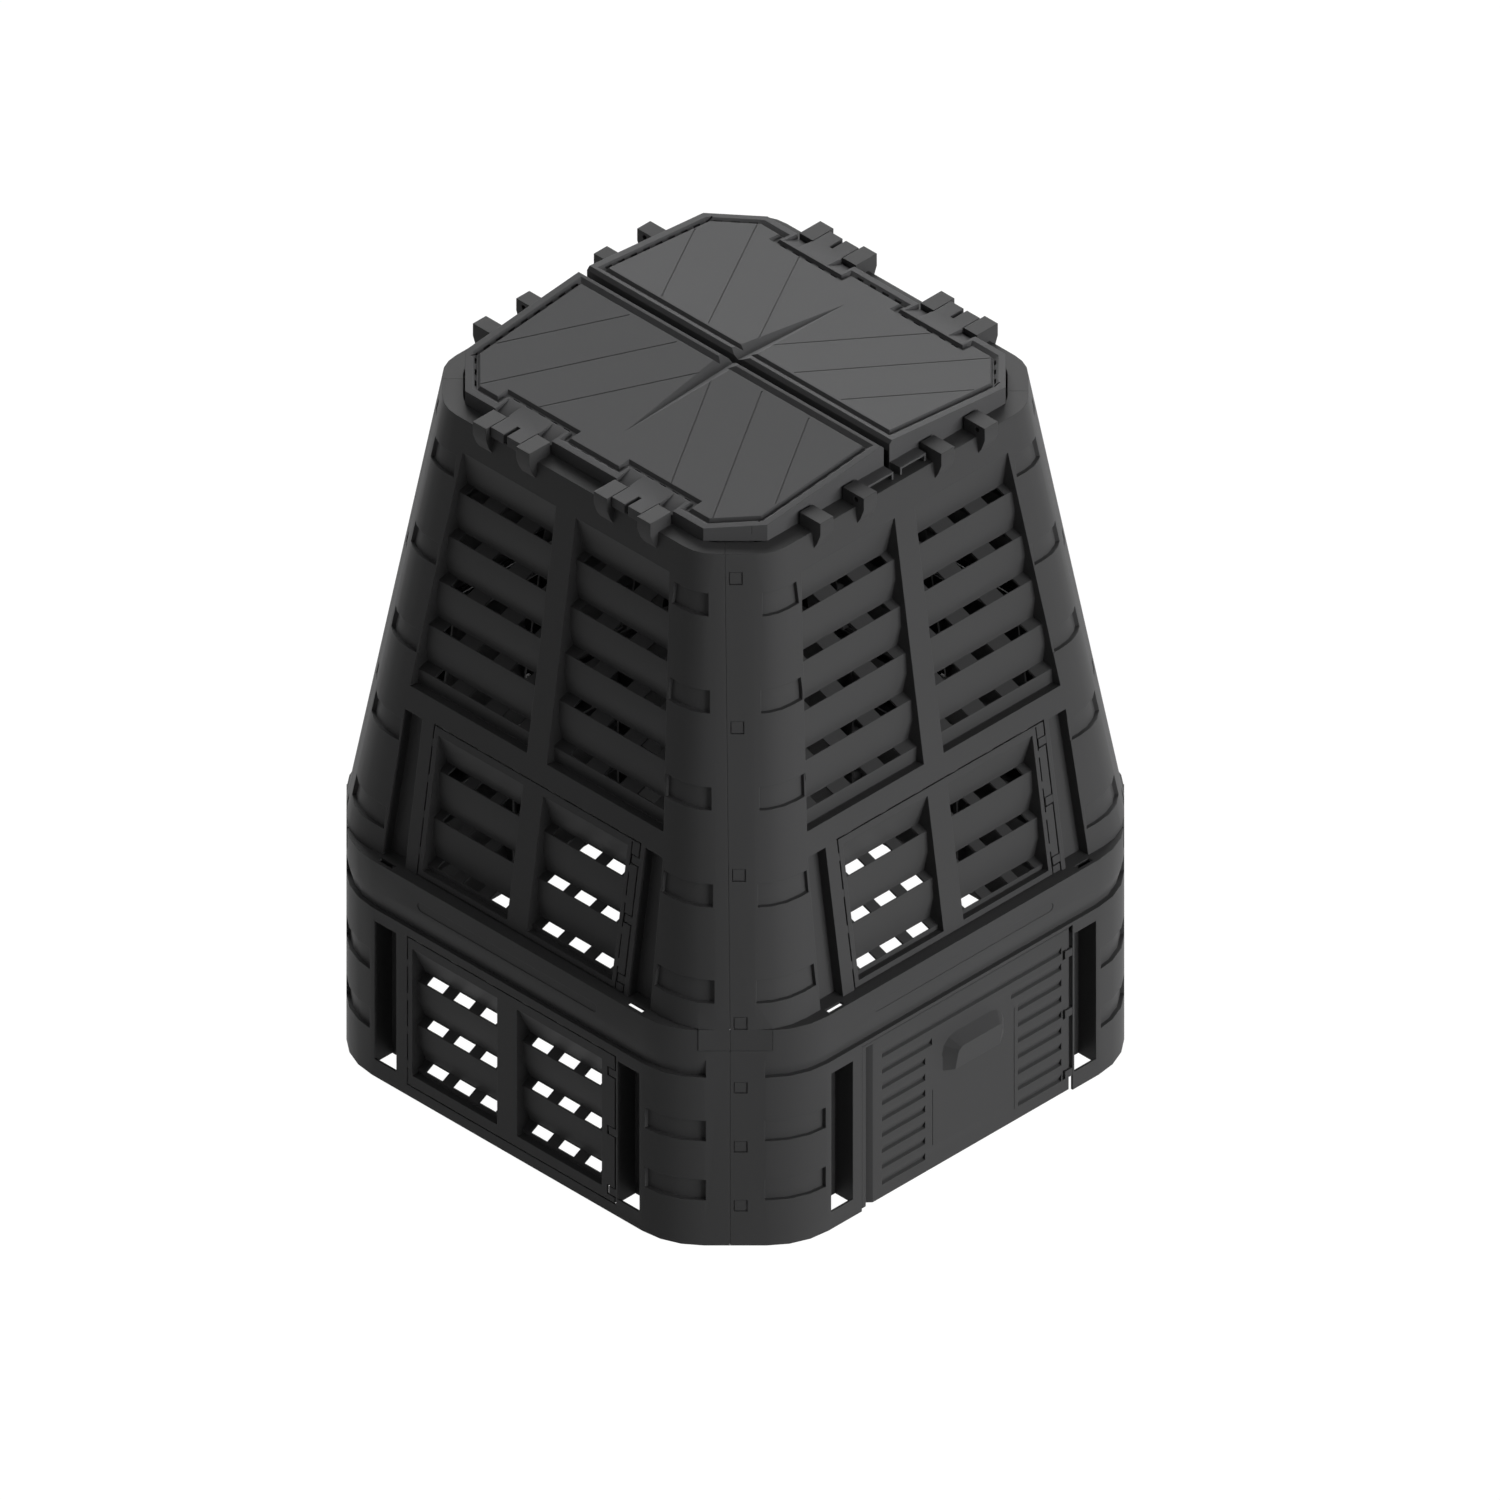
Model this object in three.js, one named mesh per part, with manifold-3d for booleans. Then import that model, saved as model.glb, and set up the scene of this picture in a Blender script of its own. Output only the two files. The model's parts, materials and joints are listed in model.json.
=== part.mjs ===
// Compost bin with lid: a square base ring, four tapered louvred walls on it and a lid of two leaves.
// Millimetres, +Z up, origin on the ground in the middle of the bin. The front faces -Y.

import * as THREE from 'three';
import { mergeVertices } from 'three/addons/utils/BufferGeometryUtils.js';
import Module from 'manifold-3d';

const wasm = await Module();
wasm.setup();

// Overall form
const baseHalf = 400; // middle of the bin to a base face
const ledgeHeight = 326; // top of the base ring, where the upper walls stand
const rimHeight = 965; // top of the upper walls
const skin = 3; // wall thickness of every moulding
const seat = 0.3; // gap between mouldings that seat on each other
const overrun = 6; // how far a cutter runs past the face it cuts
const fuse = 0.6; // how far joined bodies sink into each other
const blendSteps = 3;
const far = 900; // past the bin on every side

// Outline of the rings, as shares of the base half
const outlineShares = {
  baseCorner: 1.20475, // middle of the bin to a base corner flat
  baseBlend: 0.27, // radius between a base face and a corner flat
  footHalf: 0.96, // middle of the bin to an upper wall at its foot
  footBlend: 0.225,
  rimHalf: 0.725,
  rimCorner: 0.9075,
  rimBlend: 0.1425,
};
const baseCorner = baseHalf * outlineShares.baseCorner;
const baseBlend = baseHalf * outlineShares.baseBlend;
const footHalf = baseHalf * outlineShares.footHalf;
const footBlend = baseHalf * outlineShares.footBlend;
const rimHalf = baseHalf * outlineShares.rimHalf;
const rimCorner = baseHalf * outlineShares.rimCorner;
const rimBlend = baseHalf * outlineShares.rimBlend;

// Places across a side are shares of the base half. Heights are shares of the base ring or of the upper wall.
const acrossSide = (share) => baseHalf * share;
const inBase = (share) => ledgeHeight * share;
const aboveLedge = (share) => ledgeHeight + (rimHeight - ledgeHeight) * share;

// Corner seams, with square catches that lock one wall to the next
const seamOffset = 6.6; // seam to the corner diagonal, at the base
const seamOffsetRim = 13; // the same at the rim
const catchOffset = 13; // seam to the middle of a catch
const windowSize = 17;
const catchGap = 0.9; // sunk line around a catch
const lapWidth = 36; // strip behind the neighbour that carries the catches
const lapPast = 24; // how far the strip runs past the seam
const upperCatchShares = [0.01487, 0.32551, 0.63537, 0.94836];
const baseCatchShares = [0.18405, 0.45859, 0.73313];
const upperCatchHeights = upperCatchShares.map(aboveLedge);
const baseCatchHeights = baseCatchShares.map(inBase);

// Curved pockets beside the corners
const pocketDepth = 5.5;
const pocketHeight = 31;
const upperPocketTopShares = [0.10485, 0.30626, 0.50939, 0.71283, 0.91628];
const upperPocketTops = upperPocketTopShares.map(aboveLedge);
const upperPocketNear = [26, 33.5]; // from the corner diagonal, at the lowest and the highest pocket
const upperPocketFarShares = [0.5925, 0.4775]; // across the face, at the lowest and the highest pocket
const upperPocketFar = upperPocketFarShares.map(acrossSide);
const basePocketTopShares = [0.30491, 0.57975];
const basePocketTops = basePocketTopShares.map(inBase);
const basePocketNear = 36.6;
const basePocketFarShare = 0.6025;
const basePocketFar = acrossSide(basePocketFarShare);
const grooveShares = { top: 0.8635, bottom: 0.78067 }; // groove under the band of the base ring
const grooveTop = inBase(grooveShares.top);
const grooveBottom = inBase(grooveShares.bottom);
const grooveDepth = 7;

// Louvres
const louvrePitchShare = 0.1036; // of the upper wall
const louvrePitch = (rimHeight - ledgeHeight) * louvrePitchShare;
const sillDepths = [9.2, 23]; // outer and inner edge of a sill below the wall face
const sillDrop = 7.4;
const slatBack = [-1.6, -2.8]; // front of a slat to its back, up the wall and into its depth
const louvreWall = 27; // depth of the walls around a louvre panel
const footWall = 18; // depth of the wall under it, which leaves the lowest slots clear
const bellyDropShare = 0.5; // the belly of a slat, down its height
const bellyDepthShare = 0.18; // and into its depth
const slotWidthShare = 0.0725;
const slotWidth = acrossSide(slotWidthShare);
const slotMargin = 0.9; // sill left at each side of a slot
const slotPastShare = 0.3; // how far a slot's cutter runs past the sill, in sill thicknesses
const slotsInRow = 3;

// Upper louvre columns, on both sides of the mullion
const columnShares = {
  mullion: 0.0435, // half of the mullion
  top: 0.92958,
  bottom: 0.38498,
  outerTop: 0.4525,
  outerBottom: 0.555,
  slotPitch: 0.1475,
};
const columnRowShares = [0.42567, 0.52926, 0.63286, 0.73646, 0.84006]; // middle of each sill
const mullionHalf = acrossSide(columnShares.mullion);
const columnTop = aboveLedge(columnShares.top);
const columnBottom = aboveLedge(columnShares.bottom);
const columnOuterTop = acrossSide(columnShares.outerTop);
const columnOuterBottom = acrossSide(columnShares.outerBottom);
const columnRows = columnRowShares.map(aboveLedge);
const columnSlotPitch = acrossSide(columnShares.slotPitch);

// Doors and hatches, hinged at one side
const doorGap = 2.2; // open line around a door
const eyeRadius = 4.2;
const eyeLength = 11;
const eyeClear = 1.6; // notch around an eye, along the hinge
const pinRadius = 2.1;
const pinGap = 0.5;
const pinSides = 6;
const hingeSetback = 8.5; // hinge axis to the frame beside it
const ribEdge = 2.3; // hinge rib of a door to the frame beside it
const ribDepth = 6.8;
const ribInner = 6.5; // hinge axis to the inner side of the rib

const doorShares = {
  half: 0.4325,
  panelOuter: 0.415,
  slotPitch: 0.11625,
  upperFrame: 0.47,
  upperTop: 0.33333,
  upperPanelTop: 0.31455,
  upperPanelBottom: 0.01565,
  baseFrame: 0.4775,
  baseTop: 0.73926,
  baseBottom: 0.05215,
  basePanelTop: 0.69325,
  basePanelBottom: 0.10429,
};
const upperDoorRowShares = [0.03161, 0.13521, 0.23881];
const upperDoorEyeShares = [0.02973, 0.16119, 0.29108];
const baseDoorRowShares = [0.1362, 0.33926, 0.54233];
const baseDoorEyeShares = [0.10123, 0.38037, 0.65337];
const upperDoorHalf = acrossSide(doorShares.half);
const doorPanelInner = mullionHalf;
const doorPanelOuter = acrossSide(doorShares.panelOuter);
const doorSlotPitch = acrossSide(doorShares.slotPitch);
const upperDoorFrame = acrossSide(doorShares.upperFrame);
const upperDoorTop = aboveLedge(doorShares.upperTop);
const upperDoorPanelTop = aboveLedge(doorShares.upperPanelTop);
const upperDoorPanelBottom = aboveLedge(doorShares.upperPanelBottom);
const upperDoorRows = upperDoorRowShares.map(aboveLedge);
const upperDoorEyes = upperDoorEyeShares.map(aboveLedge);
const doorFootGap = 2.4; // open line under an upper door
const baseDoorFrame = acrossSide(doorShares.baseFrame);
const baseDoorTop = inBase(doorShares.baseTop);
const baseDoorBottom = inBase(doorShares.baseBottom);
const baseDoorPanelTop = inBase(doorShares.basePanelTop);
const baseDoorPanelBottom = inBase(doorShares.basePanelBottom);
const baseDoorRows = baseDoorRowShares.map(inBase);
const baseDoorEyes = baseDoorEyeShares.map(inBase);

// Channels beside the doors
const channelShares = {
  upperInner: 0.4875,
  upperTop: 0.3302,
  baseInner: 0.485,
  baseOuter: 0.58,
  baseTop: 0.72393,
  baseBottom: 0.07975,
};
const upperChannelWidthShares = [0.1, 0.0775]; // at the foot and at the top
const upperChannelInner = acrossSide(channelShares.upperInner);
const upperChannelTop = aboveLedge(channelShares.upperTop);
const upperChannelWidths = upperChannelWidthShares.map(acrossSide);
const upperChannelDepth = 16;
const baseChannelInner = acrossSide(channelShares.baseInner);
const baseChannelOuter = acrossSide(channelShares.baseOuter);
const baseChannelDepth = 31;
const baseChannelTop = inBase(channelShares.baseTop);
const baseChannelBottom = inBase(channelShares.baseBottom);
const channelFoot = 6; // how far the channel walls run below its opening

// Rim and ledge
const rimFlange = 26; // width of the shelf that carries the lid
const ledgeFlange = baseHalf - footHalf + upperChannelDepth + skin + seat; // shelf under the upper walls
const footDrop = 31; // how far the upper walls reach down at the corners
const footWidth = 92;

// Slots in the ledge, with a tongue at their outer side
const clipShare = 0.545;
const clipMiddle = acrossSide(clipShare);
const clipLength = 26;
const clipWidth = 7;
const clipTongue = 2;

// Front hatch with its handle
const hatchShares = {
  left: -0.44,
  top: 0.76074,
  bankTop: 0.654, // highest sill of the blind louvres
  bankPitch: 0.07383,
  hoodLeft: -0.098,
  hoodRight: 0.187,
  hoodTop: 0.58896,
  hoodBottom: 0.4325,
};
const hatchLeft = acrossSide(hatchShares.left);
const hatchTop = inBase(hatchShares.top);
const hatchBottom = 2.4;
const hatchSunk = 2; // hatch face below the wall face
const hatchDeep = 9.6; // depth of the hatch walls
const hatchRound = 2.6; // slope along the hatch's top and hinge edge
const rebateLeft = hatchLeft - doorGap;
const rebateTop = hatchTop + doorGap;
const landing = 22; // strip behind the hatch edge
const gutterLeft = 6.6; // groove down the hatch's free side, from the hatch edge
const gutterFloor = 11;
const gutterSlope = 17.5;
const gutterRight = 19;
const gutterDepth = 7;
const gutterLip = 1;
const gutterTop = 5; // from the top of the hatch
const bankRows = 9;
const bankPitch = inBase(hatchShares.bankPitch);
const bankTop = inBase(hatchShares.bankTop);
const bankDepth = 4.4;
const bankRise = 9.5; // height of the sloping part of a blind louvre
const bankSill = 1.6;
const leftBankShares = [-0.3525, -0.16375];
const rightBankShares = [0.2425, 0.4325];
const secondRowShares = [-0.13375, 0.2125]; // the second row reaches nearer to the hood
const leftBank = leftBankShares.map(acrossSide);
const rightBank = rightBankShares.map(acrossSide);
const secondRow = secondRowShares.map(acrossSide);
const hoodLeft = acrossSide(hatchShares.hoodLeft);
const hoodRight = acrossSide(hatchShares.hoodRight);
const hoodTop = inBase(hatchShares.hoodTop);
const hoodBottom = inBase(hatchShares.hoodBottom);
const hoodProud = [9, 16]; // at the bottom and at the top
const hoodBevel = 18;
const hoodBevelTop = 15;
const hoodRounds = [26, 9]; // radius of the upper corners, at the hatch and at the hood's face
const hoodSteps = 3;
const hatchEyeShares = [0.08589, 0.3681, 0.64417];
const hatchEyes = hatchEyeShares.map(inBase);

// Lid
const seamHalf = 5; // half of the open line between the leaves
const seamBevel = 4.5;
const seamLip = 16; // height of the lip that stiffens each leaf along the seam
const lidInset = 25; // rim to lid
const lidCornerInset = 28;
const lidHalf = rimHalf - lidInset;
const lidCorner = rimCorner - lidCornerInset;
const eaveRise = 19; // rim to the eave of the lid
const ridgeRise = 25; // eave to the ridge at the seam
const eaveHeight = rimHeight + eaveRise;
const ridgeHeight = eaveHeight + ridgeRise;
const lidSkin = 3.2;
const beadWidth = 9;
const channelWidth = 10; // groove between the bead and the field
const channelFloor = 1;
const channelSide = 3; // its steep side along the field
const channelDepth = 4.5;
const notchDeep = 27; // how far the field keeps off the hinges
const notchHalf = 54;
const rampInset = 25; // ramp behind an ear, from the edge of the lid
const rampInner = lidHalf - rampInset;
const rampDepth = 9;
const valleyShares = { length: 0.475, half: 0.04125 };
const valleyLength = acrossSide(valleyShares.length);
const valleyHalf = acrossSide(valleyShares.half);
const valleyDepth = 9;
const liftInner = 6;
const liftClear = 5.5; // lifting tab to the ear beside it
const liftOut = 18;
const liftTopRise = 13;
const liftBottomRise = 1.5;
const liftTop = rimHeight + liftTopRise;
const liftBottom = rimHeight + liftBottomRise;

// Ears around the rim, and the pins of the lid
const earCentreShares = [-0.36, -0.17, 0.17, 0.36];
const earCentres = earCentreShares.map(acrossSide);
const earWidth = 23;
const liftOuter = Math.min(...earCentres.map(Math.abs)) - earWidth / 2 - liftClear;
const earGap = 3; // lid to ear
const earInner = lidHalf + earGap;
const earDeep = 36.5;
const earOuter = earInner + earDeep;
const earTop = eaveHeight;
const earStraightRise = 1; // rim to the foot of an ear's straight side
const earStraight = rimHeight + earStraightRise;
const earFootDrop = 25;
const earFoot = rimHeight - earFootDrop;
const earBellyShares = [0.45, 0.4]; // belly of an ear between its foot and its straight side
const earHole = 7;
const lidAxisIn = 13.5; // outer side of an ear to the hinge axis
const lidAxisOut = earOuter - lidAxisIn;
const lidAxisRise = 11.5;
const lidAxisHeight = rimHeight + lidAxisRise;
const lidPinRadius = 3.4;
const lidPinGap = 0.5;
const lidPinLength = 5.5;
const lidPinSides = 8;
const fingerGap = 1.2;
const fingerSlot = 6;
const fingerSlotLength = 24;
const fingerPast = 6; // hinge axis to the finger's outer end
const fingerOuter = lidAxisOut + fingerPast;
const fingerBelow = 7; // hinge axis to the finger's underside
const fingerBottom = lidAxisHeight - fingerBelow;

// Solids: geometry goes in welded, and comes back as plain triangles
function solid(geometry) {
  geometry.deleteAttribute('normal');
  geometry.deleteAttribute('uv');
  const welded = mergeVertices(geometry);
  return new wasm.Manifold(new wasm.Mesh({
    numProp: 3,
    vertProperties: new Float32Array(welded.attributes.position.array),
    triVerts: new Uint32Array(welded.index.array),
  }));
}

function geometryOf(body) {
  const mesh = body.getMesh();
  const geometry = new THREE.BufferGeometry();
  const points = new Float32Array(mesh.vertProperties);
  geometry.setAttribute('position', new THREE.BufferAttribute(points, mesh.numProp));
  geometry.setIndex(new THREE.BufferAttribute(new Uint32Array(mesh.triVerts), 1));
  return geometry;
}

function join(bodies) {
  return bodies.reduce((whole, body) => whole.add(body));
}

function cut(body, cutters) {
  return body.subtract(join(cutters));
}

function moved(body, matrix) {
  return solid(geometryOf(body).applyMatrix4(matrix));
}

// A matrix whose columns are where the x, y and z of a profile go
function axes(x, y, z, origin = new THREE.Vector3()) {
  return new THREE.Matrix4().makeBasis(x, y, z).setPosition(origin);
}

function prism(points, low, high, matrix) {
  const shape = new THREE.Shape(points.map(([x, y]) => new THREE.Vector2(x, y)));
  const geometry = new THREE.ExtrudeGeometry(shape, { depth: high - low, bevelEnabled: false });
  geometry.translate(0, 0, low);
  return solid(matrix ? geometry.applyMatrix4(matrix) : geometry);
}

function rectangle(x0, x1, y0, y1) {
  return [[x0, y0], [x1, y0], [x1, y1], [x0, y1]];
}

function block([x0, x1], [y0, y1], [z0, z1]) {
  return prism(rectangle(x0, x1, y0, y1), z0, z1);
}

const X = new THREE.Vector3(1, 0, 0);
const Y = new THREE.Vector3(0, 1, 0);
const Z = new THREE.Vector3(0, 0, 1);
const alongX = axes(Y, Z, X); // a profile in Y and Z, drawn out along X
const alongY = axes(Z, X, Y); // a profile in Z and X, drawn out along Y

// A closed body through sections with equally many points, each a loop seen counter-clockwise from above.
// A point may carry a height of its own.
function loft(sections) {
  const count = sections[0].points.length;
  const positions = sections.flatMap(({ points, z }) => points.flatMap(([x, y, own = z]) => [x, y, own]));
  const index = [];
  for (let ring = 0; ring + 1 < sections.length; ring += 1) {
    for (let i = 0; i < count; i += 1) {
      const next = (i + 1) % count;
      const a = ring * count + i;
      const b = ring * count + next;
      index.push(a, b, b + count, a, b + count, a + count);
    }
  }
  const last = (sections.length - 1) * count;
  for (let i = 1; i + 1 < count; i += 1) {
    index.push(0, i + 1, i, last, last + i, last + i + 1);
  }
  const geometry = new THREE.BufferGeometry();
  geometry.setAttribute('position', new THREE.BufferAttribute(new Float32Array(positions), 3));
  geometry.setIndex(index);
  return solid(geometry);
}

// Outline of the bin at one height: four faces and four corner flats, with round blends between them
function outline(half, corner, blend, steps = blendSteps) {
  const points = [];
  for (let turn = 0; turn < 8; turn += 1) {
    const first = turn * Math.PI / 4;
    const near = (turn % 2 ? corner : half) - blend;
    const next = (turn % 2 ? half : corner) - blend;
    const across = (next - near * Math.SQRT1_2) / Math.SQRT1_2;
    const centreX = near * Math.cos(first) - across * Math.sin(first);
    const centreY = near * Math.sin(first) + across * Math.cos(first);
    for (let step = 0; step <= steps; step += 1) {
      const angle = first + step / steps * Math.PI / 4;
      points.push([centreX + blend * Math.cos(angle), centreY + blend * Math.sin(angle)]);
    }
  }
  return points;
}

const mix = THREE.MathUtils.lerp;
const upperShare = (height) => (height - ledgeHeight) / (rimHeight - ledgeHeight);
const upperHalf = (height) => mix(footHalf, rimHalf, upperShare(height));
const upperCorner = (height) => mix(baseCorner, rimCorner, upperShare(height));

function upperBody(inset, low, high, steps) {
  const level = (z) => ({
    z,
    points: outline(
      upperHalf(z) - inset,
      upperCorner(z) - inset,
      mix(footBlend, rimBlend, upperShare(z)) - inset,
      steps,
    ),
  });
  return loft([level(low), level(high)]);
}

function baseBody(inset, low, high, steps) {
  const points = outline(baseHalf - inset, baseCorner - inset, baseBlend - inset, steps);
  return loft([{ points, z: low }, { points, z: high }]);
}

const upperSeam = (height) => -mix(seamOffset, seamOffsetRim, upperShare(height));
const baseSeam = () => -seamOffset;

// A corner has its own frame: out along the diagonal, and across it towards the front or the next wall.
// The wall's long end is at its left corner, its short end at its right one.
const toLeftCorner = new THREE.Vector3(-Math.SQRT1_2, -Math.SQRT1_2, 0);
const toRightCorner = new THREE.Vector3(Math.SQRT1_2, -Math.SQRT1_2, 0);
const leftCorner = axes(toRightCorner, toLeftCorner.clone().negate(), Z);
const rightCorner = axes(toLeftCorner.clone().negate(), toRightCorner.clone().negate(), Z);

function inCorner(matrix, across, out) {
  const place = new THREE.Vector3(across, -out, 0).applyMatrix4(matrix);
  return [place.x, place.y];
}

// The quarter of the ring that one wall takes, between the seams at its two corners
function quarter(seam, low, high) {
  const level = (z) => {
    const left = seam(z) + seat / 2;
    const right = seam(z) - seat / 2;
    return {
      z,
      points: [
        inCorner(leftCorner, left, -right),
        inCorner(leftCorner, left, far),
        inCorner(rightCorner, right, far),
      ],
    };
  };
  return loft([level(low), level(high)]);
}

// Catches and their strip at the short end, to lie in and behind the neighbour's windows. The root that
// carries them stops lower down where the wall steps back.
function catchStrip(body, seam, heights, [low, high], rootHigh) {
  const inner = skin + seat;
  const strip = body(inner, low, high).subtract(body(inner + skin, low - overrun, high + overrun));
  const root = body(skin - fuse, low, rootHigh).subtract(body(inner + skin, low - overrun, high + overrun));
  const studs = body(catchGap, low, high).subtract(body(inner + fuse, low - overrun, high + overrun));
  const slab = (from, to, bottom, top) => loft([bottom, top].map((z) => ({
    z,
    points: [
      [from(z), rimHalf],
      [from(z), far],
      [to(z), far],
      [to(z), rimHalf],
    ].map(([across, reach]) => inCorner(rightCorner, across, reach)),
  })));
  const past = (z) => seam(z) + lapPast;
  const before = (z) => seam(z) + lapPast - lapWidth;
  const end = (z) => seam(z) - seat / 2;
  const stud = (height) => slab(
    (z) => seam(z) + catchOffset - windowSize / 2 + catchGap,
    (z) => seam(z) + catchOffset + windowSize / 2 - catchGap,
    height - windowSize / 2 + catchGap,
    height + windowSize / 2 - catchGap,
  );
  return join([
    strip.intersect(slab(before, past, low - overrun, high + overrun)),
    root.intersect(slab(before, end, low - overrun, high + overrun)),
    studs.intersect(join(heights.map(stud))),
  ]);
}

function windows(seam, heights) {
  return heights.map((height) => {
    const middle = seam(height) + catchOffset;
    const points = [
      [middle - windowSize / 2, far],
      [middle - windowSize / 2, rimHalf],
      [middle + windowSize / 2, rimHalf],
      [middle + windowSize / 2, far],
    ].map(([across, out]) => inCorner(leftCorner, across, out));
    return prism(points, height - windowSize / 2, height + windowSize / 2);
  });
}

// The zone of a pocket, from near the corner diagonal to a place on the face, for both ends of a wall
function pocketZone(side, near, end, low, high, margin) {
  const corner = side < 0 ? leftCorner : rightCorner;
  const from = near - margin;
  const reach = end - margin;
  const points = [
    [side * reach, -reach - from * Math.SQRT2],
    inCorner(corner, -side * from, far),
    [side * reach, -far],
  ];
  return prism(side < 0 ? points : points.reverse(), low - margin, high + margin);
}

// The whole face between the corners, from near one diagonal to near the other
function faceZone(near, low, high) {
  const points = [
    [0, -near * Math.SQRT2],
    inCorner(leftCorner, near, far),
    inCorner(rightCorner, -near, far),
  ];
  return prism(points, low, high);
}

function pockets(body, list) {
  const low = Math.min(...list.map(({ top }) => top)) - 2 * pocketHeight;
  const high = Math.max(...list.map(({ top }) => top)) + pocketHeight;
  const zones = (margin) => join(list.flatMap(({ top, near, end }) => [-1, 1].map(
    (side) => pocketZone(side, near, end, top - pocketHeight, top, margin),
  )));
  const layer = (outer, inner, steps) => body(outer, low, high)
    .subtract(body(inner, low - overrun, high + overrun, steps));
  return {
    lining: layer(fuse, pocketDepth + skin, 1).intersect(zones(skin)),
    hollow: layer(-overrun, pocketDepth).intersect(zones(0)),
  };
}

// Frame of a wall's face: u across it, v up it and w straight out of it
const lean = Math.atan2(footHalf - rimHalf, rimHeight - ledgeHeight);
const up = new THREE.Vector3(0, Math.sin(lean), Math.cos(lean));
const out = new THREE.Vector3(0, -Math.cos(lean), Math.sin(lean));
const upperFace = axes(X, up, out, new THREE.Vector3(0, -footHalf, ledgeHeight));
const baseFace = axes(X, Z, Y.clone().negate(), new THREE.Vector3(0, -baseHalf, 0));
const upSlope = (height) => (height - ledgeHeight) / Math.cos(lean);
const profileAcross = axes(Y, Z, X); // a profile in v and w, drawn out along u
const profileUp = axes(Z, X, Y); // a profile in w and u, drawn out along v

// Grows a four-sided outline, wide enough at the sides for a wall of the given thickness
function grown([[x0, y0], [x1, y1], [x2, y2], [x3, y3]], by) {
  return [[x0 - by, y0 - by], [x1 + by, y1 - by], [x2 + by, y2 + by], [x3 - by, y3 + by]];
}

// Louvre panel: a deep frame, and slats that lean inwards going down, each with a slotted sill below it
function louvreFrame(corners) {
  const [[left, bottom], [right]] = corners;
  const behind = block(
    [left - skin - overrun, right + skin + overrun],
    [bottom - skin - overrun, bottom],
    [-far, -footWall],
  );
  return prism(grown(corners, skin), -louvreWall, -fuse).subtract(behind);
}

function louvreOpening(corners) {
  return prism(corners, -louvreWall - overrun, overrun);
}

function louvreSlats(corners, rows, pitch) {
  const [[left0, bottom], [right0], [right1, top], [left1]] = corners;
  const [sillOut, sillIn] = sillDepths;
  const [backUp, backIn] = slatBack;
  const inner = (row) => [row + sillDrop / 2, -sillIn];
  const outer = (row) => [row - sillDrop / 2, -sillOut];
  const face = [[top + skin / 2, -fuse]];
  [...rows].reverse().forEach((row, i) => {
    const from = face[face.length - 1];
    if (i > 0) {
      const drop = mix(from[0], inner(row)[0], bellyDropShare);
      face.push([drop, mix(from[1], -sillIn, bellyDepthShare)]);
    }
    face.push(inner(row), outer(row));
  });
  const fall = (sillIn - sillOut) / (louvrePitch - sillDrop);
  const tail = outer(rows[0])[0] - bottom;
  face.push([bottom - skin / 2, -sillOut - tail * fall]);
  const back = face.map(([v, w]) => [v + backUp, w + backIn]);
  const sheet = prism(
    [...face, ...back.reverse()],
    Math.min(left0, left1) - skin / 2,
    Math.max(right0, right1) + skin / 2,
    profileAcross,
  );
  const inside = prism(grown(corners, skin / 2), -louvreWall - overrun, overrun);
  const length = Math.hypot(sillDrop, sillIn - sillOut);
  const slots = rows.flatMap((row) => {
    const share = (row - bottom) / (top - bottom);
    const middle = (mix(left0, left1, share) + mix(right0, right1, share)) / 2;
    const spot = (from, to, through) => [
      mix(from[0], to[0], slotMargin / length) + backUp * through,
      mix(from[1], to[1], slotMargin / length) + backIn * through,
    ];
    const section = [
      spot(outer(row), inner(row), -slotPastShare),
      spot(outer(row), inner(row), 1 + slotPastShare),
      spot(inner(row), outer(row), 1 + slotPastShare),
      spot(inner(row), outer(row), -slotPastShare),
    ];
    return Array.from({ length: slotsInRow }, (_, i) => {
      const at = middle + (i - (slotsInRow - 1) / 2) * pitch;
      return prism(section, at - slotWidth / 2, at + slotWidth / 2, profileAcross);
    });
  });
  return sheet.intersect(inside).subtract(join(slots));
}

// Hinge along v: eyes on the frame, and a ribbed edge with pins on the door. side is the hinge's side.
function hingeEye(side, frame, height) {
  const axis = frame - hingeSetback;
  const points = [
    [-seat, side * (frame + skin)],
    [-seat, side * (axis - eyeRadius)],
    [-2 * eyeRadius, side * (axis - eyeRadius)],
    [-2 * eyeRadius, side * (axis + eyeRadius / 2)],
    [-skin - fuse, side * (frame + skin)],
  ];
  return prism(points, height - eyeLength / 2, height + eyeLength / 2, profileUp);
}

function pinRod(side, frame, radius, low, high) {
  const rod = new THREE.CylinderGeometry(radius, radius, high - low, pinSides);
  rod.translate(side * (frame - hingeSetback), (low + high) / 2, -eyeRadius);
  return solid(rod);
}

// The plate of a door, its hinge rib with a notch around each eye, and the pins across the notches
function doorLeaf(side, { free, frame, bottom, top, eyes }) {
  const hingeEdge = frame - ribEdge;
  const ribFrom = frame - hingeSetback - ribInner;
  const across = (from, to) => (side > 0 ? [from, to] : [-to, -from]);
  const plate = block(across(-free, hingeEdge), [bottom, top], [-skin, 0]);
  const rib = block(across(ribFrom, hingeEdge), [bottom, top], [-ribDepth, -fuse]);
  const notch = (height) => block(
    across(ribFrom - fuse, frame),
    [height - eyeLength / 2 - eyeClear, height + eyeLength / 2 + eyeClear],
    [-ribDepth - overrun, overrun],
  );
  const pin = (height) => pinRod(side, frame, pinRadius, height - eyeLength, height + eyeLength);
  return join([cut(plate.add(rib), eyes.map(notch)), ...eyes.map(pin)]);
}

function eyesOf(side, frame, eyes) {
  const rings = join(eyes.map((height) => hingeEye(side, frame, height)));
  const low = Math.min(...eyes) - eyeLength;
  const high = Math.max(...eyes) + eyeLength;
  return rings.subtract(pinRod(side, frame, pinRadius + pinGap, low, high));
}

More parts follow.
